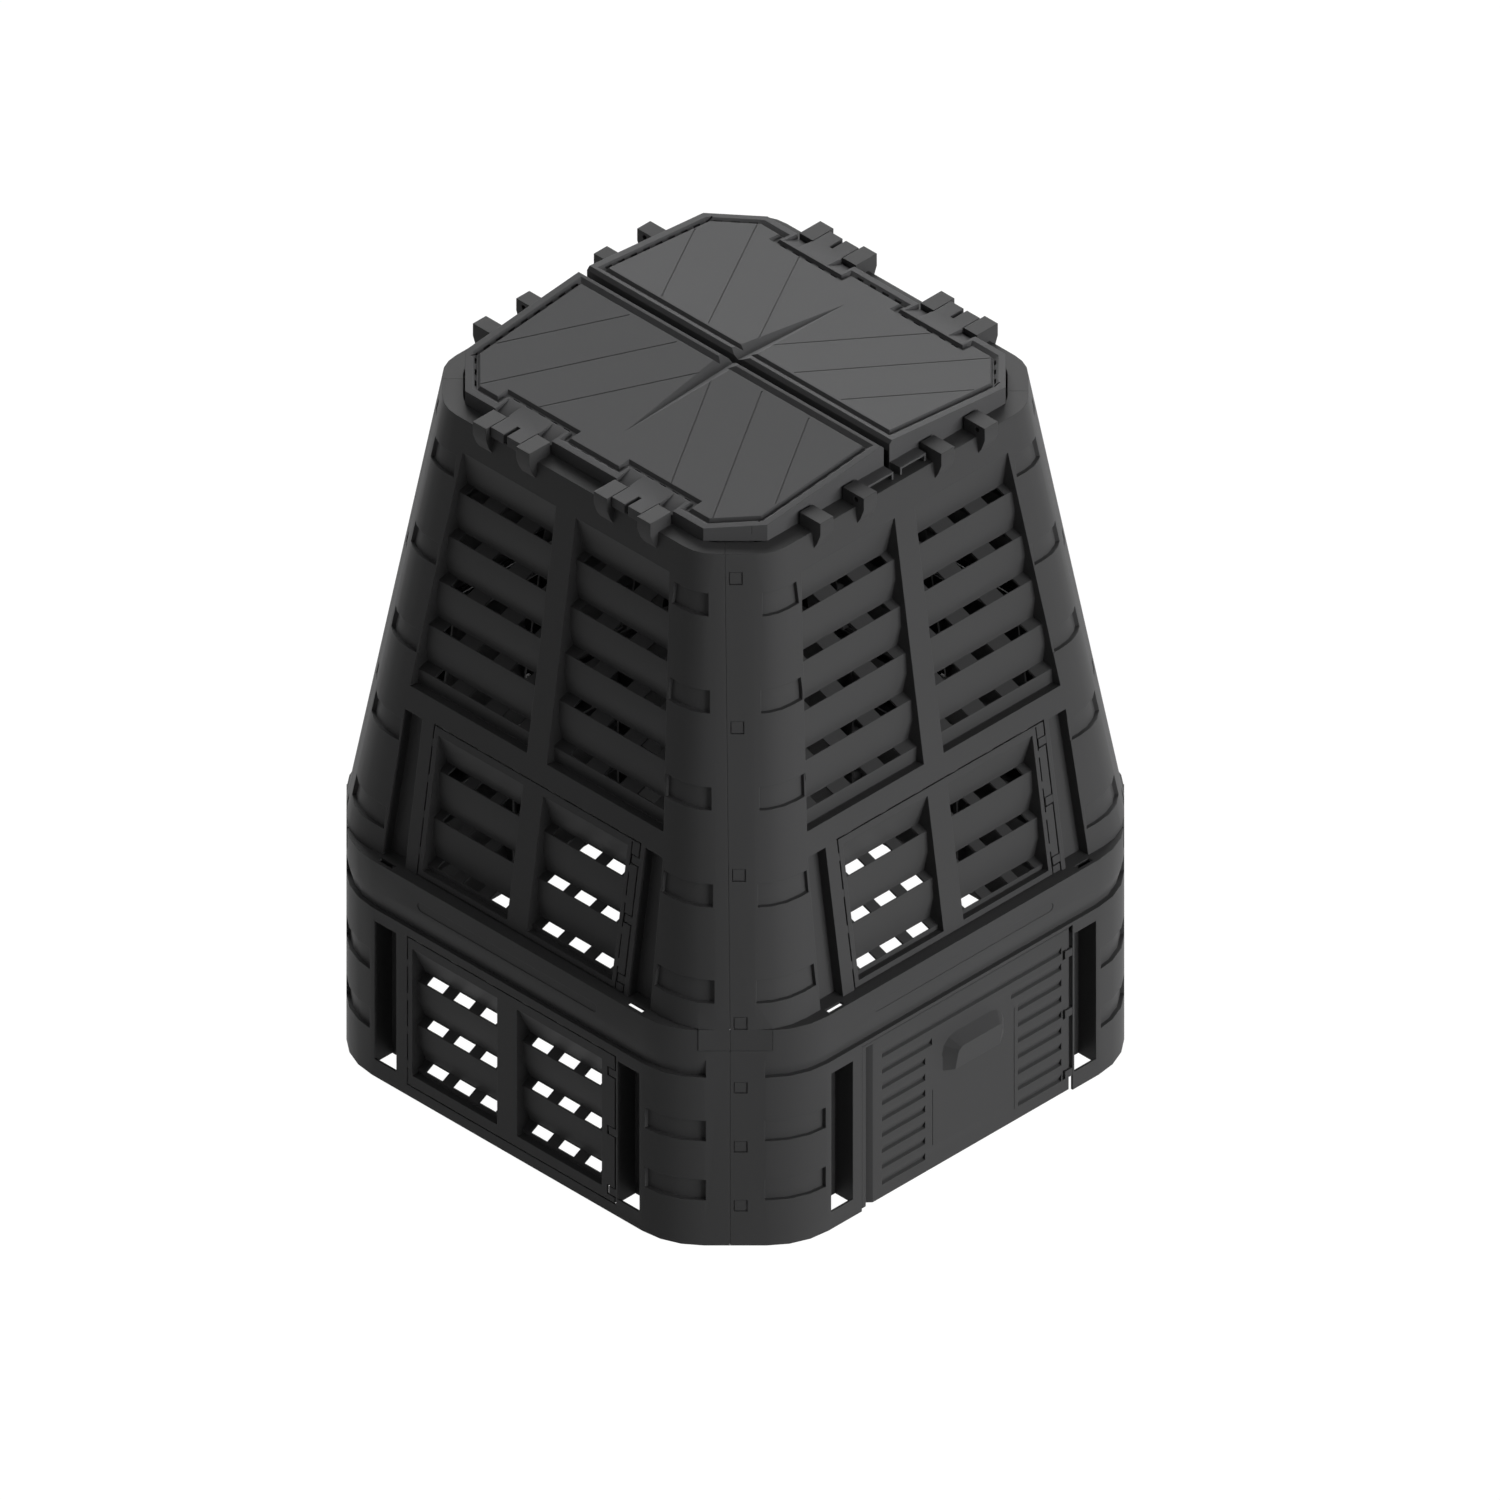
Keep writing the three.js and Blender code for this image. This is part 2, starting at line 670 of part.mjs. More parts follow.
// Upper wall
const columnCorners = [
  [mullionHalf, upSlope(columnBottom)],
  [columnOuterBottom, upSlope(columnBottom)],
  [columnOuterTop, upSlope(columnTop)],
  [mullionHalf, upSlope(columnTop)],
];
const mirrored = (corners) => [1, 0, 3, 2].map((i) => [-corners[i][0], corners[i][1]]);

function channelCorners(side) {
  const low = -overrun;
  const high = upSlope(upperChannelTop);
  const points = [
    [upperChannelInner, low],
    [upperChannelInner + upperChannelWidths[0], low],
    [upperChannelInner + upperChannelWidths[1], high],
    [upperChannelInner, high],
  ];
  return side > 0 ? points : mirrored(points);
}

const hingeSide = 1; // the doors hang on the right, seen from outside
const upperDoorBottom = doorFootGap;
const upperDoor = {
  free: upperDoorHalf,
  frame: upperDoorFrame,
  bottom: upperDoorBottom,
  top: upSlope(upperDoorTop) - doorGap / 2,
  eyes: upperDoorEyes.map(upSlope),
};

function ear(centre) {
  const points = [
    [-earInner, rimHeight - skin / 2],
    [-upperHalf(earFoot) + skin / 2, earFoot],
    [mix(-upperHalf(earFoot), -earOuter, earBellyShares[0]), mix(earFoot, earStraight, earBellyShares[1])],
    [-earOuter, earStraight],
    [-earOuter, earTop],
    [-earInner, earTop],
  ];
  return prism(points.reverse(), centre - earWidth / 2, centre + earWidth / 2, alongX);
}

function earHoleCutter(centre) {
  const towards = Math.abs(centre) < Math.abs(earCentres[0]) ? Math.sign(centre) : -Math.sign(centre);
  const hole = new THREE.CylinderGeometry(
    lidPinRadius + lidPinGap,
    lidPinRadius + lidPinGap,
    earHole * 2,
    lidPinSides,
  );
  hole.rotateZ(Math.PI / 2);
  hole.translate(centre + towards * earWidth / 2, -lidAxisOut, lidAxisHeight);
  return solid(hole);
}

function upperWall() {
  const low = ledgeHeight + seat;
  const shell = cut(upperBody(0, low, rimHeight), [
    upperBody(skin, low - overrun, rimHeight - skin),
    upperBody(rimFlange, rimHeight - skin - overrun, rimHeight + overrun),
  ]);
  const foot = (corner) => {
    const points = [
      [-footWidth / 2, baseCorner - seat / 2],
      [-footWidth / 2, baseCorner - skin],
      [footWidth / 2, baseCorner - skin],
      [footWidth / 2, baseCorner - seat / 2],
    ].map(([across, along]) => inCorner(corner, across, along));
    return prism(points, ledgeHeight - footDrop + seat, low + fuse);
  };
  const skirted = join([shell, foot(leftCorner), foot(rightCorner)]);
  const share = (i) => i / (upperPocketTops.length - 1);
  const pocket = pockets(upperBody, upperPocketTops.map((top, i) => ({
    top,
    near: mix(...upperPocketNear, share(i)),
    end: mix(...upperPocketFar, share(i)),
  })));
  const sector = quarter(upperSeam, ledgeHeight - footDrop - overrun, rimHeight + overrun);
  const wall = join([skirted, pocket.lining]).subtract(pocket.hollow).intersect(sector);

  const columns = [columnCorners, mirrored(columnCorners)];
  const channels = [channelCorners(-1), channelCorners(1)];
  const doorway = block(
    [-upperDoorHalf - doorGap, upperDoorFrame],
    [-overrun, upSlope(upperDoorTop) + doorGap / 2],
    [-skin - fuse, overrun],
  );
  const linings = join([
    ...columns.map(louvreFrame),
    ...channels.map((corners) => prism(grown(corners, skin), -upperChannelDepth - skin, -fuse)),
  ]);
  const openings = join([
    ...columns.map(louvreOpening),
    ...channels.map((corners) => prism(corners, -upperChannelDepth, overrun)),
    doorway,
  ]);
  const rows = columnRows.map(upSlope);
  const additions = join([
    ...columns.map((corners) => louvreSlats(corners, rows, columnSlotPitch)),
    eyesOf(hingeSide, upperDoorFrame, upperDoor.eyes),
  ]);
  const above = block([-far, far], [-far, far], [low, rimHeight + far]);
  const panel = wall
    .add(moved(linings, upperFace).intersect(above))
    .subtract(moved(openings, upperFace))
    .add(moved(additions, upperFace));
  const ears = join(earCentres.map(ear)).subtract(join(earCentres.map(earHoleCutter)));
  const stripTop = rimHeight - skin - seat;
  const strip = catchStrip(upperBody, upperSeam, upperCatchHeights, [low, stripTop], stripTop);
  return join([cut(panel, windows(upperSeam, upperCatchHeights)), ears, strip]);
}

function doorPanels(bottom, top) {
  const right = rectangle(doorPanelInner, doorPanelOuter, bottom, top);
  return [right, mirrored(right)];
}

function louvredDoor(door, panels, rows) {
  const framed = join([doorLeaf(hingeSide, door), ...panels.map(louvreFrame)]);
  const slats = panels.map((corners) => louvreSlats(corners, rows, doorSlotPitch));
  return join([cut(framed, panels.map(louvreOpening)), ...slats]);
}

function upperDoorBody() {
  const panels = doorPanels(upSlope(upperDoorPanelBottom), upSlope(upperDoorPanelTop));
  return moved(louvredDoor(upperDoor, panels, upperDoorRows.map(upSlope)), upperFace);
}

// Base ring
const baseDoor = {
  free: upperDoorHalf,
  frame: baseDoorFrame,
  bottom: baseDoorBottom + doorGap / 2,
  top: baseDoorTop - doorGap / 2,
  eyes: baseDoorEyes,
};

// The groove under the band: it slopes in going down, and its top edge fades along the face
function grooveCutter() {
  const around = loft([
    {
      z: grooveBottom,
      points: outline(baseHalf - grooveDepth, baseCorner - grooveDepth, baseBlend - grooveDepth),
    },
    { z: grooveTop, points: outline(baseHalf, baseCorner, baseBlend) },
  ]);
  return baseBody(-overrun, grooveBottom, grooveTop)
    .subtract(around)
    .intersect(faceZone(basePocketNear, grooveBottom, grooveTop));
}

function baseWall(isFront) {
  const opening = isFront
    ? { low: -overrun, high: rebateTop, left: rebateLeft }
    : { low: baseDoorBottom - doorGap / 2, high: baseDoorTop + doorGap / 2, left: -upperDoorHalf - doorGap };
  const shell = cut(baseBody(0, 0, ledgeHeight), [
    baseBody(skin, -overrun, ledgeHeight - skin),
    baseBody(ledgeFlange, ledgeHeight - skin - overrun, ledgeHeight + overrun),
  ]);
  const grooveLining = baseBody(fuse, grooveBottom - skin, grooveTop + skin)
    .subtract(baseBody(grooveDepth + skin, grooveBottom - skin - overrun, grooveTop + skin + overrun))
    .intersect(faceZone(basePocketNear - skin, grooveBottom - skin, grooveTop + skin));
  const places = basePocketTops.map((top) => ({ top, near: basePocketNear, end: basePocketFar }));
  const pocket = pockets(baseBody, places);
  const step = (corner) => {
    const half = footWidth / 2 + seat;
    const points = [
      [-half, baseCorner + overrun],
      [-half, baseCorner - skin - seat],
      [half, baseCorner - skin - seat],
      [half, baseCorner + overrun],
    ].map(([across, along]) => inCorner(corner, across, along));
    return prism(points, ledgeHeight - footDrop, ledgeHeight + overrun);
  };
  const clipSlot = (side) => block(
    [side * clipMiddle - clipLength / 2, side * clipMiddle + clipLength / 2],
    [-baseHalf + skin + clipTongue, -baseHalf + skin + clipTongue + clipWidth],
    [ledgeHeight - skin - overrun, ledgeHeight + overrun],
  );
  const wall = join([shell, grooveLining, pocket.lining])
    .subtract(join([
      grooveCutter(),
      pocket.hollow,
      step(leftCorner),
      step(rightCorner),
      clipSlot(-1),
      clipSlot(1),
    ]))
    .intersect(quarter(baseSeam, -overrun, ledgeHeight + overrun));

  const channelBox = (side, grow, low, high, depth, front) => block(
    side > 0
      ? [baseChannelInner - grow, baseChannelOuter + grow]
      : [-baseChannelOuter - grow, -baseChannelInner + grow],
    [low, high],
    [-depth, front],
  );
  const linings = [-1, 1].map((side) => channelBox(
    side,
    skin,
    baseChannelBottom - channelFoot,
    baseChannelTop + skin,
    baseChannelDepth + skin,
    -fuse,
  ));
  const openings = [
    block([opening.left, baseDoorFrame], [opening.low, opening.high], [-skin - fuse, overrun]),
    ...[-1, 1].flatMap((side) => [
      channelBox(side, 0, baseChannelBottom, baseChannelTop, baseChannelDepth, overrun),
      channelBox(side, 0, 0, baseChannelBottom + fuse, baseChannelDepth, -skin),
    ]),
  ];
  const additions = [eyesOf(hingeSide, baseDoorFrame, isFront ? hatchEyes : baseDoorEyes)];
  if (isFront) {
    const depth = hatchSunk + hatchDeep + seat;
    const past = baseDoorFrame + overrun;
    const landingPlate = block(
      [rebateLeft - skin, baseDoorFrame + fuse],
      [0, rebateTop + skin],
      [-depth - skin, -fuse],
    );
    const hole = block([rebateLeft + landing, past], [-overrun, rebateTop - landing], [-far, 0]);
    const sunk = block([rebateLeft, past], [-overrun, rebateTop], [-depth, overrun]);
    additions.push(cut(landingPlate, [hole, sunk]));
  }
  const panel = wall
    .add(moved(join(linings), baseFace))
    .subtract(moved(join(openings), baseFace))
    .add(moved(join(additions), baseFace));
  const stripTop = ledgeHeight - skin - seat;
  const strip = catchStrip(baseBody, baseSeam, baseCatchHeights, [0, stripTop], ledgeHeight - footDrop);
  return join([cut(panel, windows(baseSeam, baseCatchHeights)), strip]);
}

function baseDoorBody() {
  const panels = doorPanels(baseDoorPanelBottom, baseDoorPanelTop);
  return moved(louvredDoor(baseDoor, panels, baseDoorRows), baseFace);
}

// Front hatch: a shallow tray with a groove down its free side, blind louvres and a hood to pull it by.
// Each blind louvre is a face that slopes in going down, with a narrow sill under it. The highest one runs
// right across the hatch, the others stand in two banks.
function blindLouvres() {
  const slope = bankDepth / bankRise;
  const sills = Array.from({ length: bankRows }, (_, i) => bankTop - i * bankPitch);
  const groove = (sill, from, to) => prism([
    [sill, slope * overrun],
    [sill + bankSill + bankRise + overrun, slope * overrun],
    [sill + bankSill + bankRise, 0],
    [sill + bankSill, -bankDepth],
    [sill, 0],
  ], from, to, profileAcross);
  const grooves = sills.flatMap((sill, i) => {
    if (i === 0) return [groove(sill, leftBank[0], rightBank[1])];
    const [leftEnd, rightStart] = i === 1 ? secondRow : [leftBank[1], rightBank[0]];
    return [groove(sill, leftBank[0], leftEnd), groove(sill, rightStart, rightBank[1])];
  });
  const high = bankTop + bankSill + bankRise + skin;
  const lining = (from, to, sill) => block(
    [from - skin, to + skin + fuse],
    [sill - skin, high],
    [-bankDepth - skin, -fuse],
  );
  const linings = [
    lining(...leftBank, sills[bankRows - 1]),
    lining(...rightBank, sills[bankRows - 1]),
    lining(leftBank[0], secondRow[0], sills[1]),
    lining(secondRow[1], rightBank[1], sills[1]),
    lining(leftBank[0], rightBank[1], bankTop),
  ];
  return { grooves: join(grooves), linings: join(linings) };
}

function gutter() {
  const points = [
    [gutterLeft, overrun],
    [gutterLeft, -gutterDepth],
    [gutterFloor, -gutterDepth],
    [gutterSlope, -gutterLip],
    [gutterRight, 0],
    [gutterRight, overrun],
  ].map(([x, w]) => [w, hatchLeft + x]);
  return prism(points, hatchBottom - overrun, hatchTop - gutterTop, profileUp);
}

// An outline with a straight foot and rounded upper corners
function arch([left, right], bottom, top, radius) {
  const points = [[left, bottom], [right, bottom]];
  [right - radius, left + radius].forEach((centre, turn) => {
    for (let step = 0; step <= hoodSteps; step += 1) {
      const angle = (turn + step / hoodSteps) * Math.PI / 2;
      points.push([centre + radius * Math.cos(angle), top - radius + radius * Math.sin(angle)]);
    }
  });
  return points;
}

// The hood stands out more at its top, and is open at its foot
function hood(inset, bottom) {
  const [low, high] = hoodProud;
  const [footRound, faceRound] = hoodRounds;
  const faceTop = hoodTop - hoodBevelTop;
  const proud = (v) => mix(low, high, (v - hoodBottom) / (faceTop - hoodBottom)) - inset;
  const foot = arch([hoodLeft + inset, hoodRight - inset], bottom, hoodTop - inset, footRound - inset);
  const sides = [hoodLeft + hoodBevel + inset, hoodRight - hoodBevel - inset];
  const face = arch(sides, bottom, faceTop - inset, faceRound - inset).map(([x, y]) => [x, y, proud(y)]);
  return loft([{ z: -skin, points: foot }, { points: face }]);
}

const hatch = {
  frame: baseDoorFrame,
  eyes: hatchEyes,
};

function frontHatch() {
  const hingeEdge = hatch.frame - ribEdge;
  const ribFrom = hatch.frame - hingeSetback - ribInner;
  const whole = rectangle(hatchLeft, hingeEdge, hatchBottom, hatchTop);
  const tray = loft([
    { z: -hatchSunk - hatchDeep, points: whole },
    { z: -hatchSunk - hatchRound, points: whole },
    {
      z: -hatchSunk,
      points: rectangle(hatchLeft, hingeEdge - hatchRound, hatchBottom, hatchTop - hatchRound),
    },
  ]);
  const hollow = block(
    [hatchLeft + gutterRight + skin, ribFrom],
    [hatchBottom + skin, hatchTop - skin],
    [-far, -hatchSunk - skin],
  );
  const relief = block([ribFrom, hingeEdge + overrun], [-overrun, hatchTop + overrun], [-far, -ribDepth]);
  const notch = (height) => block(
    [ribFrom - fuse, hatch.frame],
    [height - eyeLength / 2 - eyeClear, height + eyeLength / 2 + eyeClear],
    [-far, overrun],
  );
  const { grooves, linings } = blindLouvres();
  const onFace = new THREE.Matrix4().makeTranslation(0, 0, -hatchSunk);
  const raised = join([
    cut(tray, [hollow, relief]),
    moved(linings, onFace),
    moved(hood(0, hoodBottom), onFace),
  ]);
  const outside = block([-far, far], [-far, far], [-hatchSunk, far]);
  const shaped = cut(raised, [
    moved(grooves, onFace),
    moved(gutter(), onFace),
    moved(hood(skin, hoodBottom - overrun), onFace).intersect(outside),
    ...hatch.eyes.map(notch),
  ]);
  const pins = hatch.eyes.map((height) => (
    pinRod(1, hatch.frame, pinRadius, height - eyeLength, height + eyeLength)
  ));
  return moved(join([shaped, ...pins]), baseFace);
}

// Lid leaf over +X: a shallow slope from the ridge to the eave, with skirts down to the rim
function lidOutline(inset, seamAt) {
  const half = lidHalf - inset;
  const cornerAt = (lidCorner - inset) * Math.SQRT2 - half;
  return [
    [seamAt, -half],
    [cornerAt, -half],
    [half, -cornerAt],
    [half, cornerAt],
    [cornerAt, half],
    [seamAt, half],
  ];
}

const lidFall = (ridgeHeight - eaveHeight) / (lidHalf - seamHalf - seamBevel);
const lidTopAt = (x) => ridgeHeight - (x - seamHalf - seamBevel) * lidFall;

// Everything under a plane that lies the given depth below the sloping top
function underTop(depth, bottom) {
  const end = lidHalf + overrun;
  const points = [
    [bottom, 0],
    [bottom, end],
    [lidTopAt(end) - depth, end],
    [lidTopAt(0) - depth, 0],
  ];
  return prism(points, -far, far, alongY);
}

function lidLeaf() {
  const bottom = rimHeight + seat;
  const plan = (inset, seamAt) => prism(lidOutline(inset, seamAt), bottom, ridgeHeight + far);
  const bevel = prism([
    [ridgeHeight - seamBevel, seamHalf - overrun],
    [ridgeHeight + seamBevel, seamHalf - overrun],
    [ridgeHeight + seamBevel, seamHalf + 2 * seamBevel],
    [ridgeHeight - seamBevel, seamHalf],
  ], -far, far, alongY);
  const outer = plan(0, seamHalf).intersect(underTop(0, bottom - overrun));
  const inner = prism(lidOutline(lidSkin, seamHalf + lidSkin), bottom - overrun, ridgeHeight + far)
    .intersect(underTop(lidSkin, bottom - far));
  const underLip = block(
    [seamHalf - overrun, seamHalf + lidSkin + overrun],
    [lidSkin - lidHalf, lidHalf - lidSkin],
    [bottom - overrun, ridgeHeight - seamLip],
  );
  const hingeMiddle = (Math.abs(earCentres[0]) + Math.abs(earCentres[1])) / 2;
  const hinges = [-hingeMiddle, hingeMiddle];

  // Groove around the field, which steps inwards past each hinge, shaped level and put onto the slope
  const field = (levels) => {
    const whole = loft(levels.map(([z, inset]) => ({ z, points: lidOutline(inset, seamHalf + inset) })));
    const last = levels.length - 1;
    const steps = hinges.map((middle) => loft(levels.map(([z, inset], i) => {
      const half = notchHalf + inset - beadWidth;
      return {
        z: z + (i === 0 ? -overrun : 0) + (i === last ? overrun : 0),
        points: rectangle(lidHalf - notchDeep - inset + beadWidth, far, middle - half, middle + half),
      };
    })));
    return cut(whole, steps);
  };
  const onSlope = new THREE.Matrix4().set(
    1, 0, 0, 0,
    0, 1, 0, 0,
    -lidFall, 0, 1, lidTopAt(0),
    0, 0, 0, 1,
  );
  const fieldEdge = beadWidth + channelWidth;
  const deepAt = fieldEdge - channelSide;
  const grooveOuter = field([[-channelDepth, deepAt - channelFloor], [0, beadWidth], [overrun, beadWidth]]);
  const grooveInner = field([
    [-channelDepth - overrun, deepAt],
    [-channelDepth, deepAt],
    [0, fieldEdge],
    [2 * overrun, fieldEdge],
  ]);
  const groove = moved(grooveOuter.subtract(grooveInner), onSlope);
  const under = -channelDepth - lidSkin;
  const liningOuter = field([[under, beadWidth], [-seat, beadWidth]]);
  const liningInner = field([[under - overrun, fieldEdge + lidSkin], [overrun, fieldEdge + lidSkin]]);
  const grooveLining = moved(liningOuter.subtract(liningInner), onSlope);

  // Shallow valley from the seam outwards, with a pointed end
  const valley = (grow) => {
    const start = seamHalf - overrun;
    const depth = valleyDepth + grow;
    const rising = 1 + overrun / depth;
    const half = (valleyHalf + grow) * rising;
    const end = start + (valleyLength + overrun + grow) * rising;
    const positions = [
      start, -half, lidTopAt(start) + overrun,
      start, half, lidTopAt(start) + overrun,
      start, 0, lidTopAt(start) - depth,
      end, 0, lidTopAt(end) + overrun,
    ];
    const geometry = new THREE.BufferGeometry();
    geometry.setAttribute('position', new THREE.BufferAttribute(new Float32Array(positions), 3));
    geometry.setIndex([0, 1, 2, 0, 3, 1, 0, 2, 3, 1, 3, 2]);
    return solid(geometry);
  };
  const valleyLining = valley(lidSkin).intersect(outer);

  // Hinge fingers between each pair of ears, with stub pins, and ramps behind the ears
  const earHalf = earWidth / 2;
  const gapHalf = hingeMiddle - Math.abs(earCentres[1]) - earHalf;
  const knuckles = hinges.flatMap((middle) => {
    const width = gapHalf - fingerGap;
    const body = block(
      [lidHalf - lidSkin, fingerOuter],
      [middle - width, middle + width],
      [fingerBottom, eaveHeight],
    );
    const reach = 2 * (gapHalf + lidPinLength);
    const pins = new THREE.CylinderGeometry(lidPinRadius, lidPinRadius, reach, lidPinSides);
    pins.translate(lidAxisOut, middle, lidAxisHeight);
    return [join([body, solid(pins)])];
  });
  const fingerSlots = hinges.map((middle) => block(
    [fingerOuter - fingerSlotLength, fingerOuter + overrun],
    [middle - fingerSlot / 2, middle + fingerSlot / 2],
    [fingerBottom - overrun, eaveHeight + overrun],
  ));
  const ramp = (centre, grow) => {
    const points = [
      [lidTopAt(rampInner - grow) - grow, rampInner - grow],
      [lidTopAt(lidHalf) - rampDepth - grow, lidHalf + overrun],
      [lidTopAt(lidHalf) + overrun, lidHalf + overrun],
      [lidTopAt(rampInner) + overrun, rampInner - grow],
    ];
    return prism(points.reverse(), centre - earHalf - grow, centre + earHalf + grow, alongY);
  };
  const rampLinings = earCentres.map((centre) => ramp(centre, lidSkin).intersect(outer));
  const ramps = earCentres.map((centre) => ramp(centre, 0));

  // Lifting tab at the front, beside the seam
  const lift = cut(
    block([liftInner, liftOuter], [-lidHalf - liftOut, -lidHalf + lidSkin], [liftBottom, liftTop]),
    [block(
      [liftInner + skin, liftOuter - skin],
      [-lidHalf - liftOut - overrun, -lidHalf],
      [liftBottom - overrun, liftTop - skin],
    )],
  );
  const shell = join([
    cut(outer, [inner, underLip]),
    grooveLining,
    valleyLining,
    ...rampLinings,
    ...knuckles,
    lift,
  ]);
  return cut(shell, [groove, valley(0), bevel, ...fingerSlots, ...ramps]);
}

// Finishes
const wallColour = 0x3f3f40;
const lidColour = 0x474748;

function plastic(colour) {
  return new THREE.MeshStandardMaterial({ color: colour, roughness: 0.62, metalness: 0 });
}

function piece(name, geometry, colour) {
  const mesh = new THREE.Mesh(geometry, plastic(colour));
  mesh.name = name;
  return mesh;
}

// Assembly: each wall, door and hatch is modelled at the front and turned to its side
const bin = new THREE.Group();
const sides = ['front', 'right', 'back', 'left'];
const upperWallGeometry = geometryOf(upperWall());
const upperDoorGeometry = geometryOf(upperDoorBody());
const frontBaseGeometry = geometryOf(baseWall(true));
const otherBaseGeometry = geometryOf(baseWall(false));
const baseDoorGeometry = geometryOf(baseDoorBody());
sides.forEach((side, i) => {
  const quarterTurn = new THREE.Group();
  quarterTurn.rotation.z = i * Math.PI / 2;
  quarterTurn.add(piece(`upper_wall_${side}`, upperWallGeometry, wallColour));
  quarterTurn.add(piece(`upper_door_${side}`, upperDoorGeometry, wallColour));
  quarterTurn.add(piece(`base_wall_${side}`, i ? otherBaseGeometry : frontBaseGeometry, wallColour));
  if (i) quarterTurn.add(piece(`base_door_${side}`, baseDoorGeometry, wallColour));
  bin.add(quarterTurn);
});
bin.add(piece('front_hatch', geometryOf(frontHatch()), wallColour));

const leafGeometry = geometryOf(lidLeaf());
const leftGeometry = leafGeometry.clone().applyMatrix4(new THREE.Matrix4().makeScale(-1, 1, 1));
leftGeometry.setIndex([...leafGeometry.index.array].reverse());
bin.add(piece('lid_leaf_right', leafGeometry, lidColour));
bin.add(piece('lid_leaf_left', leftGeometry, lidColour));

export default bin;
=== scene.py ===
# Compost bin with lid: a base ring, tapered louvred walls and a lid of two leaves, in black polypropylene.
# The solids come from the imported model. This script gives them their finish and adds the fine details.

import json
import math

import bpy
from mathutils import Matrix, Vector

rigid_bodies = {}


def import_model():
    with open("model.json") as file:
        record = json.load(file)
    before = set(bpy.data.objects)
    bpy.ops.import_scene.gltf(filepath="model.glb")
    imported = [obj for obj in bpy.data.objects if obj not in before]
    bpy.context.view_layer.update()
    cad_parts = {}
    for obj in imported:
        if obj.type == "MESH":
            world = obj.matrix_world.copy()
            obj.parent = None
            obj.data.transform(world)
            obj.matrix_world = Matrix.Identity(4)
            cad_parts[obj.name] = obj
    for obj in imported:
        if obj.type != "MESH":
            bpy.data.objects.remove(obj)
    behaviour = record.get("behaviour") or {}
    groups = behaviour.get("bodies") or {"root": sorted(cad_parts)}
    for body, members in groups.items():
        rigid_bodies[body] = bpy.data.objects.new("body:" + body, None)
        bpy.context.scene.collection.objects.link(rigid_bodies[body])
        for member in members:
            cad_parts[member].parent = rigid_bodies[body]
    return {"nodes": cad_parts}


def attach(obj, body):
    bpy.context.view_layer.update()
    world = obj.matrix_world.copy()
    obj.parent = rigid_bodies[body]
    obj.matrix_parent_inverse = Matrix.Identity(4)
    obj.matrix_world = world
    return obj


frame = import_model()
scene = bpy.context.scene
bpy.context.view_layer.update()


# Floor and background: a white studio sweep without corners. The camera sees white paper, which keeps
# the soft shadow of the bin. For light on the bin it is greyer, so that the left sides stay dark.


def linear(code):
    """A colour written as sRGB hex, in the linear values that the shaders take."""
    parts = [int(code[i : i + 2], 16) / 255 for i in (1, 3, 5)]
    return [p / 12.92 if p <= 0.04045 else ((p + 0.055) / 1.055) ** 2.4 for p in parts] + [1.0]


def node(tree, kind, inputs=None, **settings):
    """Adds one shader node: its settings, and for each input a value or the output that feeds it."""
    made = tree.nodes.new(kind)
    for name, value in settings.items():
        setattr(made, name, value)
    for name, value in (inputs or {}).items():
        if isinstance(value, bpy.types.NodeSocket):
            tree.links.new(value, made.inputs[name])
        else:
            made.inputs[name].default_value = value
    return made


def seen_directly(tree):
    """1 for what the camera sees straight, by reflection or through glass, and 0 for light on the bin."""
    rays = node(tree, "ShaderNodeLightPath")
    direct = node(
        tree,
        "ShaderNodeMath",
        {0: rays.outputs["Is Camera Ray"], 1: rays.outputs["Is Glossy Ray"]},
        operation="MAXIMUM",
    )
    return node(
        tree,
        "ShaderNodeMath",
        {0: direct.outputs[0], 1: rays.outputs["Is Transmission Ray"]},
        operation="MAXIMUM",
    ).outputs[0]


white = linear("#ffffff")
paper_grey = linear("#898989")
paper_glow = 1.25
paper_glow_share = 0.8  # the rest is the grey sheet, which shows the bin's shadow
room_light = 0.03
backdrop_light = 1.0

paper = bpy.data.materials.new("matt white paper floor")
paper.use_nodes = True
paper.node_tree.nodes.clear()
sheet = node(paper.node_tree, "ShaderNodeBsdfDiffuse", {"Color": paper_grey})
lit_paper = node(paper.node_tree, "ShaderNodeEmission", {"Color": white, "Strength": paper_glow})
shown_share = node(
    paper.node_tree,
    "ShaderNodeMath",
    {0: seen_directly(paper.node_tree), 1: paper_glow_share},
    operation="MULTIPLY",
)
paper_mix = node(
    paper.node_tree,
    "ShaderNodeMixShader",
    {0: shown_share.outputs[0], 1: sheet.outputs[0], 2: lit_paper.outputs[0]},
)
node(paper.node_tree, "ShaderNodeOutputMaterial", {"Surface": paper_mix.outputs[0]})

floor_half = 60.0
floor_corners = [
    (-floor_half, -floor_half, 0),
    (floor_half, -floor_half, 0),
    (floor_half, floor_half, 0),
    (-floor_half, floor_half, 0),
]
floor_mesh = bpy.data.meshes.new("floor")
floor_mesh.from_pydata(floor_corners, [], [(0, 1, 2, 3)])
floor_mesh.materials.append(paper)
floor = bpy.data.objects.new("floor", floor_mesh)
scene.collection.objects.link(floor)

world = bpy.data.worlds.new("studio")
world.use_nodes = True
world.node_tree.nodes.clear()
room = node(world.node_tree, "ShaderNodeBackground", {"Color": white, "Strength": room_light})
backdrop = node(world.node_tree, "ShaderNodeBackground", {"Color": white, "Strength": backdrop_light})
seen = node(
    world.node_tree,
    "ShaderNodeMixShader",
    {0: seen_directly(world.node_tree), 1: room.outputs[0], 2: backdrop.outputs[0]},
)
node(world.node_tree, "ShaderNodeOutputWorld", {"Surface": seen.outputs[0]})
scene.world = world


